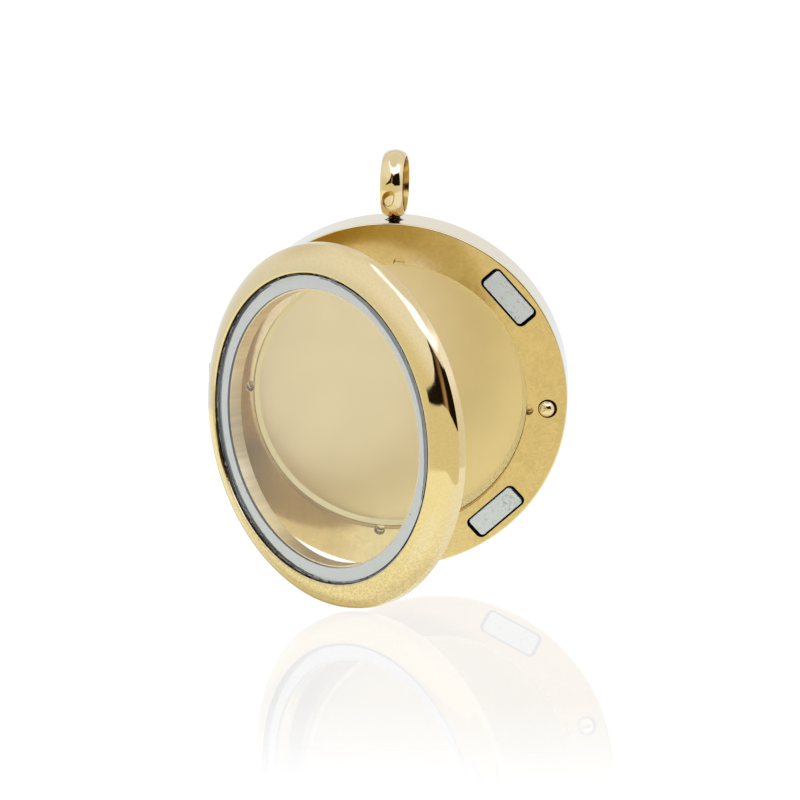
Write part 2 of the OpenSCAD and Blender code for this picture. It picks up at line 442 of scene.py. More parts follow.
@material
def ring_edge(f):
    """The silver ring's inner edge: dark, as painted shade where it meets the wall of the lid's
    opening.
    """
    f.plain(9.0, 2.0, (0.06, 0.055, 0.045), (0.13, 0.12, 0.10),
            metallic=0.4, matt=0.45, spread=0.1)


@material
def seal_dark(f):
    """Dark sealant round the glass, drawn out in glossy streaks; its near black is also painted shade
    in the slot at the glass's edge.
    """
    streak = f.streaks(5.0, 7.0)
    fine = f.streaks(14.0, 16.0, 2.0)
    light = (streak * 0.65 + fine * 0.35).ramp(0.47, 0.66)
    f.surface(f.mix(light, (0.008, 0.008, 0.009), (0.17, 0.17, 0.15)), 0.16 + light * 0.3, 0.0,
              Normal=f.bump(streak * 0.7 + fine * 0.3, 0.05))


@material
def seal_grey(f):
    """Where the sealant is worn: dull grey."""
    f.plain(8.0, 2.0, (0.16, 0.16, 0.15), (0.42, 0.41, 0.37),
            metallic=0.2, matt=0.3, spread=0.2)


@material
def film_dark(f):
    """The dark film under the edge of the glass: grey inside, black and ragged outside."""
    radius = f.around_lid()[0]
    streak = f.streaks(6.0, 6.0)
    edge = (radius + (streak - 0.5) * 0.22).ramp(12.20, 12.44)
    light = f.mix(streak, (0.13, 0.13, 0.12), (0.34, 0.34, 0.31))
    f.surface(f.mix(edge, light, (0.010, 0.010, 0.011)), 0.4 + streak * 0.2, 0.0)


@material
def clear_glass(f):
    """The window glass, with a faint smear."""
    smear = f.noise(0.8, 3.0, 0.8)
    f.surface(shades().glass, smear * 0.012, 0.0, IOR=1.5, Transmission_Weight=1.0)


@material
def pale_floor(f):
    """The floor: it glows pale, with a soft gloss in front, and is clear from below."""
    aside, ahead, _ = f.apart()
    gloss = (ahead + aside * 0.535).path((-74.0, 0.0), (-70.0, 0.04), (-60.0, 0.13),
                                         (-48.0, 0.21), (0.0, 0.21), (8.0, 0.0))
    cloud = f.noise(0.02, 1.0)
    matt = f.add("BsdfPrincipled", None, {
        "Base Color": f.grey(0.035 + cloud * 0.01), "Roughness": 1.0, "Specular IOR Level": 0.0,
        "Emission Color": shades().floor, "Emission Strength": 1.0})
    shine = f.add("BsdfGlossy", None, {"Color": (1.0, 0.96, 0.89), "Roughness": 0.02})
    both = f.add("MixShader", None, {0: gloss, 1: matt.outputs[0], 2: shine.outputs[0]})
    under = f.add("NewGeometry").outputs["Backfacing"]
    clear = f.add("BsdfTransparent")
    seen = f.add("MixShader", None, {0: under, 1: both.outputs[0], 2: clear.outputs[0]})
    f.add("OutputMaterial", None, {"Surface": seen.outputs[0]})


# Meshes, in millimetres about the middle of the case: X to the right, Y to the back, Z up

def rounded(points, closed=True):
    """A polyline whose corners are rounded: each point is (across, along, radius, steps)."""
    made = []
    count = len(points)
    for i, point in enumerate(points):
        here = Vector(point[:2])
        radius = point[2] if len(point) > 2 else 0
        steps = point[3] if len(point) > 3 else 4
        if not radius or (not closed and i in (0, count - 1)):
            made.append(here)
            continue
        back = (Vector(points[i - 1][:2]) - here).normalized()
        ahead = (Vector(points[(i + 1) % count][:2]) - here).normalized()
        half = back.angle(ahead) / 2
        reach = radius / math.tan(half)
        centre = here + (back + ahead).normalized() * (radius / math.sin(half))
        start, end = here + back * reach - centre, here + ahead * reach - centre
        sweep = start.angle_signed(end)
        for k in range(steps + 1):
            made.append(centre + Matrix.Rotation(-sweep * k / steps, 2) @ start)
    return made


def arc(start, end, bulge, steps):
    """Points between two ends on an arc that bulges out to its left side."""
    start, end = Vector(start), Vector(end)
    chord = (end - start).length
    radius = (chord * chord / 4 + bulge * bulge) / (2 * bulge)
    across = (end - start).normalized()
    out = Vector((-across.y, across.x))
    centre = (start + end) / 2 + out * (bulge - radius)
    half = math.asin(chord / 2 / radius)
    return [centre + out * (radius * math.cos(a)) + across * (radius * math.sin(a))
            for a in (half * (2 * k / steps - 1) for k in range(1, steps))]


def turned(name, section, steps=STEPS, wobble=None):
    """A turned mesh about the Y axis. The section is a loop of (radius, depth)."""
    mesh = bmesh.new()
    rings = []
    for radius, depth in section:
        if radius < 1e-6:
            rings.append([mesh.verts.new((0, depth, 0))])
            continue
        ring = []
        for k in range(steps):
            turn = TURN * k / steps
            r, y = wobble(radius, depth, turn) if wobble else (radius, depth)
            ring.append(mesh.verts.new((r * math.cos(turn), y, r * math.sin(turn))))
        rings.append(ring)
    for i, ring in enumerate(rings):
        after = rings[(i + 1) % len(rings)]
        if len(ring) == 1 and len(after) == 1:
            continue
        a, b = len(ring), len(after)
        for k in range(steps):
            n = (k + 1) % steps
            corners = (ring[k % a], ring[n % a], after[n % b], after[k % b])
            mesh.faces.new(list(dict.fromkeys(corners)))
    bmesh.ops.recalc_face_normals(mesh, faces=mesh.faces)
    return finished(name, mesh)


def lofted(name, loops):
    """A closed mesh through a row of loops that have as many points each."""
    mesh = bmesh.new()
    rows = [[mesh.verts.new(point) for point in loop] for loop in loops]
    count = len(rows[0])
    for low, high in zip(rows, rows[1:]):
        for k in range(count):
            n = (k + 1) % count
            mesh.faces.new([low[k], low[n], high[n], high[k]])
    mesh.faces.new(list(reversed(rows[0])))
    mesh.faces.new(rows[-1])
    bmesh.ops.recalc_face_normals(mesh, faces=mesh.faces)
    return finished(name, mesh)


def linked(name, data):
    """A new object in the scene that shows the data."""
    made = bpy.data.objects.new(name, data)
    bpy.context.scene.collection.objects.link(made)
    return made


def finished(name, mesh):
    """The object of a mesh that has been built."""
    data = bpy.data.meshes.new(name)
    mesh.to_mesh(data)
    mesh.free()
    return linked(name, data)


def block(name, width, length, corner, levels):
    """A block with rounded corners. Each level is a depth along Y and how far it is grown there."""
    loops = []
    for y, grow in levels:
        w, l, r = width / 2 + grow, length / 2 + grow, corner + grow
        outline = rounded([(w, -l, r, 8), (w, l, r, 8), (-w, l, r, 8), (-w, -l, r, 8)])
        loops.append([(x, y, z) for x, z in outline])
    return lofted(name, loops)


def moved(piece, matrix):
    piece.data.transform(matrix)
    return piece


def about_y(degrees):
    return Matrix.Rotation(math.radians(degrees), 4, "Y")


def off_axis(place):
    """How far a place lies from the axis that the case and the lid are turned about."""
    return math.hypot(place.x, place.z)


def on_rim(distance, angle):
    """A place on the rim at a distance and an angle, counted up from the right side."""
    return about_y(-angle) @ Matrix.Translation((distance, 0, 0))


def worked(piece, tools, operation="DIFFERENCE"):
    """The piece after each tool is cut from it, or joined to it. A tool's finish goes with its cut."""
    for tool in tools:
        step = piece.modifiers.new("step", "BOOLEAN")
        step.operation, step.solver, step.object = operation, "EXACT", tool
        step.material_mode = "TRANSFER"
    bpy.context.view_layer.update()
    shaped = bpy.data.meshes.new_from_object(
        piece.evaluated_get(bpy.context.evaluated_depsgraph_get()))
    piece.modifiers.clear()
    piece.data = shaped
    for tool in tools:
        bpy.data.objects.remove(tool)
    return piece


def lobe(turn, middle, before, after, steep):
    """1 round a direction in degrees, sinking to 0 at so many degrees before and after it."""
    off = (math.degrees(turn) - middle + 180) % 360 - 180
    return max(0.0, min(1.0, (1 - abs(off) / (before if off < 0 else after)) * steep))


def ripple(turn, around, depth):
    """An unevenness from -1 to 1. A larger number around gives more of it round the circle."""
    return noise.noise(Vector((math.cos(turn) * around, depth, math.sin(turn) * around)))


def row_place():
    """From millimetres about the middle of the case to the row's frame."""
    x, y, z = HINGE["pos_m"]
    return Matrix.Translation((x + HINGE_REACH * MM, y, z)) @ Matrix.Scale(MM, 4)


def lid_swing():
    """The lid's swing from shut to the rest pose."""
    at = Matrix.Translation((-HINGE_REACH, 0, 0))
    return at @ Matrix.Rotation(math.radians(HINGE["range_deg"][0]), 4, "Z") @ at.inverted()


def fitted(piece, body, slot, *nodes, creases=35.0):
    """Puts a piece in the row's frame, on its body, for the nodes that it stands for."""
    kinds = {}
    for face in piece.data.polygons:
        face.use_smooth = abs(face.normal.y) < 0.9995
        for key in face.edge_keys:
            kinds.setdefault(key, set()).add(face.use_smooth)
    moved(piece, row_place() @ (lid_swing() if body == "lid" else Matrix.Identity(4)))
    piece.data.set_sharp_from_angle(angle=math.radians(creases))
    for edge in piece.data.edges:
        if len(kinds[edge.key]) > 1:
            edge.use_edge_sharp = True
    even = piece.modifiers.new("even normals", "WEIGHTED_NORMAL")
    even.keep_sharp = True
    even.weight = 60
    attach(piece, body)
    if nodes:
        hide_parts(*nodes)
    return piece


def dressed(piece, *materials, pick=None):
    """Gives a piece its finishes. A face's middle and normal pick the number of its own."""
    piece.data.materials.clear()
    for entry in materials:
        piece.data.materials.append(entry)
    for face in piece.data.polygons if pick else ():
        face.material_index = int(pick(face.center, face.normal))
    return piece


# Settings

def length(name, about, default, low=0.0):
    return FloatProperty(name=name, description=about, default=default * MM, min=low, unit="LENGTH",
                         precision=5)


def colour(name, about, default):
    return FloatVectorProperty(name=name, description=about, default=default, min=0, max=1, size=3,
                               subtype="COLOR")


def angle(name, about, degrees):
    return FloatProperty(name=name, description=about, default=math.radians(degrees),
                         subtype="ANGLE")


class LocketSizes(bpy.types.PropertyGroup):
    """Sizes of the locket's pieces."""
    case_radius: length("Case radius", "Outside radius of the case and the lid", 15.0)
    case_depth: length("Case depth", "Depth of the case behind the parting plane", 5.6)
    back_round: length("Back rounding", "Radius between the side wall and the back", 1.1)
    mouth_radius: length("Mouth radius", "Radius of the mouth that the back plate sits in", 11.62)
    plate_depth: length("Plate depth", "How deep the back plate's flat face lies", 1.35)
    plate_flat: length("Plate flat", "Radius of the back plate's flat face", 11.18)
    plate_rise: length("Plate rise", "How much higher the plate's turned-up edge stands", 0.35)
    notch_radius: length("Notch radius", "Radius of the notches in the edge of the mouth", 0.43)
    magnet_length: length("Magnet length", "Length of a magnet along the rim", 4.7)
    magnet_width: length("Magnet width", "Width of a magnet across the rim", 1.8)
    ball_radius: length("Ball radius", "Radius of the locating ball", 0.75)
    bail_hole: length("Bail hole", "Radius of the hanging ring's hole", 2.29)
    bail_radius: length("Bail radius", "Outside radius of the hanging ring", 2.85)
    bail_width: length("Bail width", "Width of the hanging ring", 1.85)
    brow_radius: length("Brow radius", "Radius of the edge between the lid's side and slope", 14.84)
    brow_height: length("Brow height", "Height of that edge", 0.68)
    crest_radius: length("Crest radius", "Radius of the lid's crest round the window", 12.82)
    crest_height: length("Crest height", "Height of the crest", 1.99)
    slope_bulge: length("Slope bulge", "How far the lid's slope bulges out", 0.21)
    window_radius: length("Window radius", "Radius of the lid's opening", 11.2)
    ring_inside: length("Ring inside", "Inner radius of the silver ring", 11.37)
    glass_radius: length("Glass radius", "Radius of the window glass", 12.48)
    glass_thickness: length("Glass thickness", "Thickness of the window glass", 0.34)


class LocketColours(bpy.types.PropertyGroup):
    """Colours of the locket's finishes."""
    case_gold: colour("Case gold", "Polished plating of the case", (0.80, 0.62, 0.33))
    lid_gold: colour("Lid gold", "Polished plating of the lid", (0.80, 0.62, 0.33))
    satin_gold: colour("Satin gold", "Plating of the back plate", (0.86, 0.675, 0.355))
    magnet: colour("Magnet", "Dull nickel of the magnets", (0.68, 0.71, 0.71))
    ring_silver: colour("Ring silver", "Matt silver of the ring under the glass", (1.0, 0.95, 0.86))
    glass: colour("Glass", "Tint of the window glass", (0.97, 0.985, 0.98))
    floor: colour("Floor", "Pale studio floor", (1.0, 1.0, 1.0))


class LocketStudio(bpy.types.PropertyGroup):
    """The studio's light and camera."""
    azimuth: angle("Camera azimuth", "How far right the camera stands", 4.452)
    elevation: angle("Camera elevation", "How high the camera stands", 15.170)
    roll: angle("Camera roll", "Turn of the camera about its view", 2.854)
    distance: length("Camera distance", "From the middle of the case to the camera", 205.27)
    aside: length("Camera offset right", "How far the camera is moved to its right", 0.8723, -1.0)
    above: length("Camera offset up", "How far the camera is moved up its frame", -0.1553, -1.0)
    lens: FloatProperty(name="Lens", description="Focal length in millimetres on a 36 mm sensor",
                        default=109.179, min=1.0)
    floor_lean: angle("Floor lean", "How far the floor rises to the right", 7.3)
    floor_angle: angle("Floor angle", "Angle of the camera's view to the floor", 4.0)


def sizes():
    """The sizes by name, in millimetres."""
    group = bpy.context.scene.locket_sizes
    return {name: getattr(group, name) / MM for name in LocketSizes.__annotations__}


class Builder(bpy.types.Operator):
    """Base of the operators that build the pieces."""
    bl_options = {"REGISTER", "UNDO"}

    def execute(self, context):
        self.build(sizes())
        return {"FINISHED"}


# The case

def hinge_rod(radius, low, high, edge=0.0):
    """A rod on the hinge axis between two heights."""
    ends = [(0, low), (radius, low, edge), (radius, high, edge), (0, high)]
    rod = turned("rod", rounded(ends, closed=False), 48)
    return moved(rod, Matrix.Translation((-HINGE_REACH, 0, 0)) @ Matrix.Rotation(math.pi / 2, 4, "X"))


def knuckle(side, low, high):
    """A rolled knuckle with its leaf. Side is 1 on the case and -1 on the lid."""
    edge, leaf_in = 0.05, HINGE_REACH - LEAF_END
    outline = []
    first = math.asin(RIM / KNUCKLE_RADIUS)
    sweep, count = TURN - (math.pi / 2 - first), 40
    for k in range(count + 1):
        turn = first - sweep * k / count
        outline.append((KNUCKLE_RADIUS * math.cos(turn), KNUCKLE_RADIUS * math.sin(turn)))
    outline += [(leaf_in, KNUCKLE_RADIUS), (leaf_in, RIM)]
    loops = []
    for z, shrink in ((low, edge), (low + edge * 0.3, edge * 0.3), (low + edge, 0),
                      (high - edge, 0), (high - edge * 0.3, edge * 0.3), (high, edge)):
        scale = 1 - shrink / KNUCKLE_RADIUS
        loops.append([(x * scale - HINGE_REACH, side * y * scale, z) for x, y in outline])
    return lofted("knuckle", loops)


class LOCKET_OT_case(Builder):
    """Builds the case: a turned cup with pockets, notches and hinge knuckles"""
    bl_idname = "locket.case"
    bl_label = "Case"

    def build(self, s):
        outside, depth = s["case_radius"], s["case_depth"]
        mouth, seat = s["mouth_radius"], s["plate_depth"] + PLATE_THICK + 0.02
        shelf, hollow = 10.6, 4.5      # the shelf's inner radius, and how deep the hollow behind is
        section = rounded([
            (0, depth), (outside, depth, s["back_round"], 12), (outside, RIM, 0.13, 5),
            (mouth, RIM, 0.012, 3), (mouth, seat, 0.03, 2),
            (shelf, seat, 0.05, 2), (shelf, hollow, 0.3, 4), (0, hollow)], closed=False)
        shell = turned("case_shell", section)
        dressed(shell, case_gold(), rim_gold(),
                pick=lambda middle, normal: middle.y < RIM + 0.01 and normal.y < -0.9
                or off_axis(middle) < mouth + 0.02)
        near, far = CASE_KNUCKLE
        worked(shell, [hinge_rod(KNUCKLE_RADIUS + KNUCKLE_ROOM, -near, near)])
        worked(shell, [knuckle(1, near, far), knuckle(1, -far, -near)], "UNION")
        tools = []
        lips = [(RIM - 0.5, 0.1), (RIM - 0.02, 0.07), (RIM + 0.008, 0.03), (RIM + 0.035, 0.008),
                (RIM + 0.07, 0.0), (RIM + MAGNET_THICK + 0.06, 0.0)]
        for angle in MAGNET_ANGLES.values():
            pocket = block("pocket", s["magnet_width"] + 0.2, s["magnet_length"] + 0.52, 0.5, lips)
            tools.append(moved(dressed(pocket, pocket_dark()), on_rim(MAGNET_REACH, angle)))
        hole = s["ball_radius"] + 0.045
        flare = hole + 0.015
        ball_hole = turned("hole", rounded([
            (0, RIM - 0.5), (flare, RIM - 0.5), (flare, RIM + 0.003), (hole, RIM + 0.02),
            (hole, RIM + 1.1), (0, RIM + 1.1)], closed=False), 64)
        off_middle = Matrix.Translation((0.07, 0, 0.03))
        tools.append(moved(dressed(ball_hole, notch_brown()), on_rim(BALL_REACH, 0) @ off_middle))
        wide, floor = s["notch_radius"], s["plate_depth"] - s["plate_rise"]
        for angle in (-1, 89, 179, 269):
            notch = turned("notch", rounded([
                (0, RIM - 0.5), (wide + 0.03, RIM - 0.5), (wide + 0.03, RIM), (wide, RIM + 0.04),
                (wide, floor, 0.08, 4), (0, floor)], closed=False), 64)
            dressed(notch, notch_brown(), rim_gold(), pick=lambda middle, normal: normal.y > 0.5)
            tools.append(moved(notch, on_rim(mouth + 0.12, angle)))
        tools.append(dressed(hinge_rod(PIN_RADIUS + 0.02, -BORE_END, BORE_END), case_gold()))
        worked(shell, tools)
        fitted(shell, "case", "gold_case", "back_case")


def bail_place():
    """Where the hanging ring's middle stands, its hole along X."""
    return (about_y(BAIL_LEAN) @ Matrix.Translation(BAIL_MIDDLE)
            @ Matrix.Rotation(math.radians(BAIL_TURN), 4, "Z"))


class LOCKET_OT_bail(Builder):
    """Builds the hanging ring and the solder at its foot"""
    bl_idname = "locket.bail"
    bl_label = "Hanging ring"

    def build(self, s):
        half, crown, hole = s["bail_width"] / 2, s["bail_radius"], s["bail_hole"]
        bulge = 0.35
        edge = crown - bulge
        top = arc((edge, half), (edge, -half), bulge, 24)
        side = [(hole, 0.06), (hole + 0.018, 0.018), (hole + 0.06, 0), (edge - 0.03, 0),
                (edge, 0.02)]
        section = ([(r, y - half) for r, y in side] + [(p.x, -p.y) for p in top]
                   + [(r, half - y) for r, y in reversed(side)])

        def hand_made(radius, depth, turn):
            push = ripple(turn, 2.2, depth * 1.4) * 0.012 if radius > hole + 0.05 else 0.0
            return radius - abs(push), depth

        ring = turned("bail_ring", section, 192, hand_made)
        moved(ring, bail_place() @ Matrix.Rotation(-math.pi / 2, 4, "Z"))
        axis = bail_place()
        across = axis.to_3x3() @ Vector((1, 0, 0))

        def inner(middle, normal):
            off = middle - axis.translation
            return (off - across * off.dot(across)).length < hole + 0.012

        dressed(ring, case_gold(), bore_amber(), pick=inner)
        fitted(ring, "case", "gold_case", "back_case")

        foot = s["case_radius"]
        profile = [(0, foot - 0.3), (0.86, foot - 0.3), (0.82, foot - 0.03), (0.66, foot + 0.02),
                   (0.54, foot + 0.09), (0.48, foot + 0.19), (0.46, foot + 0.3), (0.5, foot + 0.42),
                   (0.56, foot + 0.5), (0, foot + 0.5)]

        def melted(radius, depth, turn):
            return radius * (1 + 0.06 * ripple(turn, 1.6, depth * 1.5)), depth

        solder = turned("bail_solder", profile, 96, melted)
        moved(solder, about_y(BAIL_LEAN) @ Matrix.Translation((0, BAIL_MIDDLE[1], 0))
              @ Matrix.Rotation(math.pi / 2, 4, "X"))
        dressed(solder, solder_dark())
        fitted(solder, "case", "gold_case", "back_case", creases=80.0)


class LOCKET_OT_plate(Builder):
    """Builds the satin back plate"""
    bl_idname = "locket.plate"
    bl_label = "Back plate"

    def build(self, s):
        radius, face, flat = s["mouth_radius"] - 0.03, s["plate_depth"], s["plate_flat"]
        top = face - s["plate_rise"]
        section = rounded([(0, face), (flat, face, 0.03, 4), (radius - 0.04, top, 0.03, 4),
                           (radius, top, 0.01, 2), (radius, face + PLATE_THICK, 0.05, 2),
                           (0, face + PLATE_THICK)], closed=False)
        plate = turned("photo_plate", section)
        dressed(plate, satin_gold(), edge_gold(),
                pick=lambda middle, normal: off_axis(middle) > flat - 0.02)
        fitted(plate, "case", "satin_plate", "back_plate", creases=24.0)


class LOCKET_OT_ball(Builder):
    """Builds the locating ball"""
    bl_idname = "locket.ball"
    bl_label = "Locating ball"

    def build(self, s):
        radius = s["ball_radius"]
        section = [(radius * math.sin(a), -radius * math.cos(a))
                   for a in (math.pi * k / 32 for k in range(33))]
        ball = turned("rim_ball", section, 64)
        moved(ball, on_rim(BALL_REACH, 0) @ Matrix.Translation((0, RIM + radius - BALL_STAND, 0)))
        dressed(ball, case_gold())
        fitted(ball, "case", "gold_case", "locating_ball")


class LOCKET_OT_magnets(Builder):
    """Builds the two magnets in the rim"""
    bl_idname = "locket.magnets"
    bl_label = "Magnets"

    def build(self, s):
        low = RIM + 0.04
        high = low + MAGNET_THICK
        levels = [(low, -0.06), (low + 0.018, -0.02), (low + 0.06, 0.0), (high - 0.06, 0.0),
                  (high, -0.06)]
        for where, angle in MAGNET_ANGLES.items():
            bar = block(f"magnet_{where}_bar", s["magnet_width"], s["magnet_length"], 0.3, levels)
            moved(bar, on_rim(MAGNET_REACH, angle))
            dressed(bar, magnet_nickel())
            fitted(bar, "case", "magnet", f"magnet_{where}")


class LOCKET_OT_pin(Builder):
    """Builds the hinge pin"""
    bl_idname = "locket.pin"
    bl_label = "Hinge pin"

    def build(self, s):
        pin = hinge_rod(PIN_RADIUS, -CASE_KNUCKLE[1], CASE_KNUCKLE[1], 0.06)
        pin.name = "pin_rod"
        dressed(pin, case_gold())
        fitted(pin, "case", "gold_case", "hinge_pin")


# The lid

class LOCKET_OT_bezel(Builder):
    """Builds the lid's domed ring with its knuckle and the ball's socket at its back"""
    bl_idname = "locket.bezel"
    bl_label = "Lid ring"

    def build(self, s):
        outside, window = s["case_radius"], s["window_radius"]
        brow = (s["brow_radius"], s["brow_height"])
        crest = (s["crest_radius"], s["crest_height"])
        slope = list(reversed(arc(crest, brow, s["slope_bulge"], 28)))
        corner = [(window, RIM, 0.03, 6), (outside, RIM, 0.1, 12)]
        section = rounded([(window, 1.0)] + corner + [brow], closed=False)[1:] + slope
        wide, high = crest[0] - SEAL_REACH, 0.15
        section += [Vector((crest[0] - wide * math.sin(a), crest[1] - high * (1 - math.cos(a))))
                    for a in (math.pi / 2 * k / 16 for k in range(17))]
        section += [Vector((SEAL_REACH, LEDGE)), Vector((window, LEDGE))]
        ring = turned("lid_ring", [(p.x, -p.y) for p in section])

        def rear_or_wall(middle, normal):
            if off_axis(middle) < window + 0.01 and abs(normal.y) < 0.5:
                return 2
            return middle.y > -RIM - 0.01 and normal.y > 0.9

        dressed(ring, lid_gold(), rear_gold(), wall_gold(), pick=rear_or_wall)
        end = CASE_KNUCKLE[1] + 0.06
        worked(ring, [hinge_rod(KNUCKLE_RADIUS + KNUCKLE_ROOM, low, high)
                      for low, high in ((LID_KNUCKLE, end), (-end, -LID_KNUCKLE))])
        worked(ring, [knuckle(-1, -LID_KNUCKLE, LID_KNUCKLE)], "UNION")
        hole = s["ball_radius"] + 0.16
        socket = turned("socket", [(0, -0.7), (hole, -0.7), (hole, -RIM - 0.04),
                                   (hole + 0.05, -RIM + 0.01), (hole + 0.05, 0.5), (0, 0.5)], 64)
        moved(dressed(socket, lid_gold()), on_rim(BALL_REACH, 0))
        bore = hinge_rod(PIN_RADIUS + 0.04, -BORE_END, BORE_END)
        worked(ring, [socket, dressed(bore, lid_gold())])
        fitted(ring, "lid", "gold_lid", "lid_bezel", creases=18.0)


class LOCKET_OT_window(Builder):
    """Builds the window: the glass, the silver ring under it and the seal round its edge"""
    bl_idname = "locket.window"
    bl_label = "Window"

    def build(self, s):
        radius, thick = s["glass_radius"], s["glass_thickness"]
        inside, (rear, face) = s["ring_inside"], RING_LEVELS
        ring = turned("window_ring", [(r, -y) for r, y in (
            (inside, rear + 0.02), (inside + 0.02, rear), (radius, rear), (radius, face),
            (inside + 0.05, face), (inside + 0.02, face - 0.01), (inside + 0.005, face - 0.03))])
        dressed(ring, ring_silver(), ring_edge(),
                pick=lambda middle, normal: off_axis(middle) < inside + 0.03)
        fitted(ring, "lid", "silver_ring", "glass_ring")

        low, high = GLASS_REAR, GLASS_REAR + thick
        pane = turned("window_pane", [(p.x, -p.y) for p in rounded([
            (0, low), (radius, low, 0.06, 3), (radius, high, 0.12, 4), (0, high)], closed=False)])
        dressed(pane, clear_glass())
        fitted(pane, "lid", "glass", "window_glass")
        pane.visible_shadow = False

        def uneven(r, y, turn):
            if r < 12.6 and y < -1.5:
                return r, y + 0.08 * ripple(turn, 9, y * 3) + 0.04
            return r, y

        seal = turned("window_seal", [(12.5, -1.3), (12.64, -1.3), (12.645, -1.64), (12.6, -1.71),
                                      (12.55, -1.73), (12.5, -1.70)], wobble=uneven)

        def worn(middle, normal):
            turn = math.atan2(middle.z, middle.x)
            bare = 0.1 + 0.45 * lobe(turn, -62, 60, 50, 1.5)
            around = Vector((math.degrees(turn) * 0.35, middle.y * 12, off_axis(middle) * 16))
            return noise.noise(around) > 0.42 - bare

        dressed(seal, seal_dark(), seal_grey(), pick=worn)
        fitted(seal, "lid", "silver_ring")

        def ragged(r, y, turn):
            if r > 12.46:
                return r, y
            wide = max(lobe(turn, 27, 62, 80, 1.6) * 0.56, lobe(turn, 195, 85, 85, 1.3) * 0.31)
            rough = 0.04 * ripple(turn, 14, 3.0) + 0.03 * ripple(turn, 40, 7.0)
            return r - max(wide + rough * (1 - wide), 0.0), y

        film = turned("window_film", [(12.45, -1.424), (12.47, -1.424), (12.47, -1.432),
                                      (12.45, -1.432)], 720, ragged)
        dressed(film, film_dark())
        fitted(film, "lid", "silver_ring")


# The studio

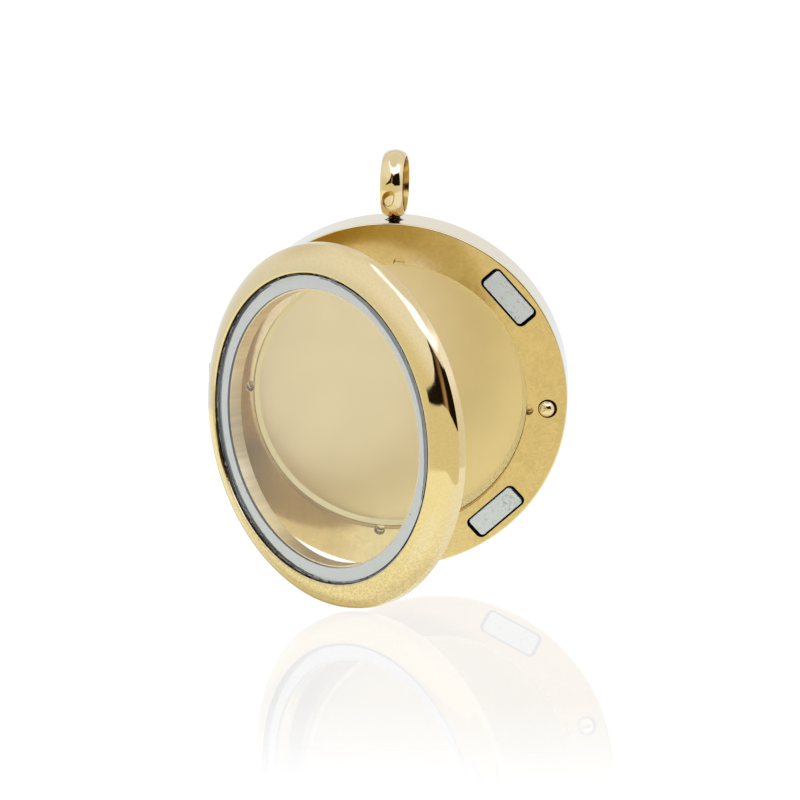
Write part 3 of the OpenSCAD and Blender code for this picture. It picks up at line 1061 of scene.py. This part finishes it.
class LOCKET_OT_studio(Builder):
    """Sets the floor, the soft light and the camera"""
    bl_idname = "locket.studio"
    bl_label = "Studio"

    def build(self, s):
        self.floor()
        self.light()
        self.camera()

    def floor(self):
        """A pale floor just under the locket, with a soft gloss in front. It leans with the photo's."""
        studio = bpy.context.scene.locket_studio
        lean, grazing = studio.floor_lean, studio.floor_angle
        across, upward, back = self.view()
        rise = (math.cos(grazing) * (math.cos(lean) * upward - math.sin(lean) * across)
                + math.sin(grazing) * back)
        low = min((piece.matrix_world @ vertex.co).dot(rise) for piece in bpy.context.scene.objects
                  if piece.type == "MESH" for vertex in piece.data.vertices)
        aside = (Vector((1, 0, 0)) - rise * rise.x).normalized()
        turn = Matrix((aside, rise.cross(aside), rise)).transposed().to_4x4()
        mesh = bmesh.new()
        bmesh.ops.create_grid(mesh, x_segments=8, y_segments=8, size=6.0)
        floor = finished("studio_floor", mesh)
        floor.matrix_world = Matrix.Translation(rise * (low - 0.0001)) @ turn
        floor.visible_glossy = False
        dressed(floor, pale_floor())

    def light(self):
        """A white tent with a long softbox over its front and a dark opening for the camera."""
        world = bpy.data.worlds.new("studio")
        bpy.context.scene.world = world
        world.use_nodes = True
        f = Finish(world.node_tree)
        x, y, z = f.apart(f.add("TexCoord").outputs["Generated"])
        aside, rise = x.bearing(y * -1.0), z.rise()
        front = 1 - y.ramp(-0.75, 0.1)
        tent = f.mix(y.ramp(-0.5, 0.9), (1.02, 1.08, 1.18), (0.94, 1.02, 1.14))
        fore = f.mix(aside.ramp(10.0, 50.0), (0.86, 0.83, 0.61), (0.89, 0.89, 0.78))
        skirt = f.mix(front, (0.89, 0.98, 1.12), fore)
        light = f.mix(1 - rise.ramp(4.0, 34.0), tent, skirt)

        def lay(amount, colour):
            """Lays a colour over the light as it is so far."""
            nonlocal light
            light = f.mix(amount, light, colour)

        # The back wall, its top, the ceiling and a bright patch at the upper right
        lay(y.ramp(0.15, 0.6) * rise.band(20.0, 40.0, 6.0) * 0.7, (0.80, 0.80, 0.80))
        lay(y.ramp(0.0, 0.4) * rise.ramp(44.0, 54.0) * 0.8, (0.88, 0.90, 0.86))
        lay(rise.ramp(56.0, 72.0), (0.88, 0.92, 1.0))
        lay(aside.band(40.0, 95.0, 8.0) * rise.band(28.0, 58.0, 6.0) * 0.8, (1.14, 1.25, 1.56))

        # The bright ground, a brighter patch on it, its middle and two brown corners at the back
        edge = aside.path((-10.0, -17.0), (15.0, -24.0), (57.0, -15.0))
        under = f.mix(aside.ramp(-20.0, 40.0), (1.12, 1.17, 0.99), (1.07, 1.16, 1.26))
        lay(1 - (rise - edge).ramp(-0.9, 0.9), under)
        lay(aside.band(-52.0, -14.0, 10.0) * rise.band(-54.0, -32.0, 6.0) * 0.8, (1.14, 1.25, 1.26))
        lay((1 - rise.ramp(-72.0, -56.0)) * 0.8, (0.95, 0.97, 0.84))
        corner = aside.band(-175.0, -118.0, 14.0) * rise.band(-68.0, -34.0, 8.0)
        lay(corner * 0.8, (0.78, 0.70, 0.42))
        nook = (aside.ramp(-180.0, -174.0) * (1 - aside.ramp(-162.0, -142.0))
                * rise.ramp(-66.0, -50.0) * (1 - rise.ramp(-21.0, -15.0)))
        lay(nook * 0.95, (0.58, 0.48, 0.22))

        # The long softbox between two curved edges
        low = aside.path((-110.0, 64.0), (-80.0, 62.0), (-50.0, 60.0), (-35.0, 56.0), (-20.0, 47.0),
                         (-10.0, 45.0), (0.0, 42.0), (60.0, 42.0), (85.0, 52.0))
        high = aside.path((-80.0, 67.0), (0.0, 63.5), (40.0, 64.0), (85.0, 69.0))
        strip = ((rise - low).ramp(-1.5, 1.5) * (high - rise).ramp(-2.0, 2.0)
                 * aside.band(-100.0, 82.0, 8.0))
        lay(strip, (1.6, 1.9, 3.0))

        # The dark opening, with something warm in it
        top = aside.path((-42.5, 3.7), (-30.0, 10.6), (-20.0, 17.0), (-13.8, 25.0), (-10.8, 33.0),
                         (-10.4, 44.0), (-1.0, 38.7), (10.0, 33.7), (20.0, 38.0), (30.0, 41.0))
        foot = aside.path((-42.5, 0.0), (-20.0, 7.0), (-10.0, 10.3), (0.0, 10.6), (10.0, 7.0),
                          (18.0, 3.0))
        opening = ((top - rise).ramp(-0.7, 0.7) * (rise - foot).ramp(-0.5, 0.5)
                   * aside.band(-42.5, 57.0, 0.8))
        warm = aside.path((-8.0, 0.0), (-2.0, 1.0), (1.0, 1.0), (3.5, 0.0))
        lay(opening, f.mix(warm * (1 - rise.ramp(14.0, 38.0) * 0.6), (0.012, 0.009, 0.005),
                           (0.48, 0.32, 0.18)))
        seen = f.add("LightPath").outputs["Is Camera Ray"]
        shown = f.mix(seen, light, (1.05, 1.05, 1.05))
        back = f.add("Background", None, {"Color": shown, "Strength": 1.0})
        f.add("OutputWorld", None, {"Surface": back.outputs[0]})
        bpy.context.scene.view_settings.view_transform = "Standard"

    def view(self):
        """The camera's own directions: to its right, up its frame, and back from the locket."""
        studio = bpy.context.scene.locket_studio
        az, el, roll = studio.azimuth, studio.elevation, studio.roll
        right = Vector((math.cos(az), math.sin(az), 0))
        back = Vector((math.sin(az) * math.cos(el), -math.cos(az) * math.cos(el), math.sin(el)))
        up = back.cross(right)
        return (math.cos(roll) * right + math.sin(roll) * up,
                math.cos(roll) * up - math.sin(roll) * right, back)

    def camera(self):
        studio = bpy.context.scene.locket_studio
        across, upward, back = self.view()
        place = (row_place().translation + back * studio.distance + across * studio.aside
                 + upward * studio.above)
        lens = bpy.data.cameras.new("camera")
        lens.sensor_width, lens.lens = 36.0, studio.lens
        lens.clip_start = 0.01
        camera = linked("camera", lens)
        turn = Matrix((across, upward, back)).transposed().to_4x4()
        camera.matrix_world = Matrix.Translation(place) @ turn
        bpy.context.scene.camera = camera


class LOCKET_PT_panel(bpy.types.Panel):
    """The locket's settings and build steps"""
    bl_idname = "LOCKET_PT_panel"
    bl_label = "Photo locket"
    bl_space_type = "VIEW_3D"
    bl_region_type = "UI"
    bl_category = "Locket"

    def draw(self, context):
        for group in GROUPS:
            settings = getattr(context.scene, group)
            box = self.layout.box()
            for name in settings.__annotations__:
                box.prop(settings, name)
        for operator in OPERATORS:
            self.layout.operator(operator.bl_idname)


OPERATORS = (LOCKET_OT_case, LOCKET_OT_bail, LOCKET_OT_plate, LOCKET_OT_ball, LOCKET_OT_magnets,
             LOCKET_OT_pin, LOCKET_OT_bezel, LOCKET_OT_window, LOCKET_OT_studio)
GROUPS = {"locket_sizes": LocketSizes, "locket_colours": LocketColours,
          "locket_studio": LocketStudio}
CLASSES = (*GROUPS.values(), *OPERATORS, LOCKET_PT_panel)


def register():
    for entry in CLASSES:
        bpy.utils.register_class(entry)
    for name, group in GROUPS.items():
        setattr(bpy.types.Scene, name, PointerProperty(type=group))


def unregister():
    for name in GROUPS:
        delattr(bpy.types.Scene, name)
    for entry in reversed(CLASSES):
        bpy.utils.unregister_class(entry)


def main():
    register()
    for operator in OPERATORS:
        family, name = operator.bl_idname.split(".")
        getattr(getattr(bpy.ops, family), name)()


if __name__ == "__main__":
    main()
